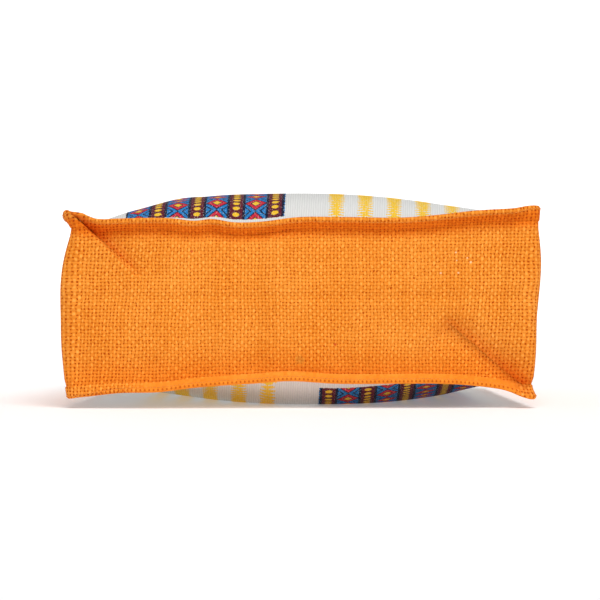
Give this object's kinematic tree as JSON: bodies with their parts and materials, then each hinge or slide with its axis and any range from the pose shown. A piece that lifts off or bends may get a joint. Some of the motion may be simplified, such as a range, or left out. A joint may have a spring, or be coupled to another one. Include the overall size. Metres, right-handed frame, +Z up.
{
  "type": "burlap bag",
  "caption": "Empty gusseted shopping bag of orange burlap and printed white cloth, lying flat on its back with the mouth open.",
  "frame": {"origin": "on the surface it lies on, under the middle of the whole part", "axes": "+X along the base, +Y from the base to the mouth and the handles, +Z up, away from the surface"},
  "size_m": [0.3462, 0.4721, 0.159],
  "materials": {
    "orange_burlap": "matte open plain weave, orange",
    "printed_cloth": "matte ribbed white cloth with a printed band and yellow stripes"
  },
  "bodies": {
    "root": {"gusset": "orange_burlap", "front_panel": "printed_cloth", "back_panel": "printed_cloth", "front_handle": "orange_burlap", "back_handle": "orange_burlap"}
  },
  "joints": []
}
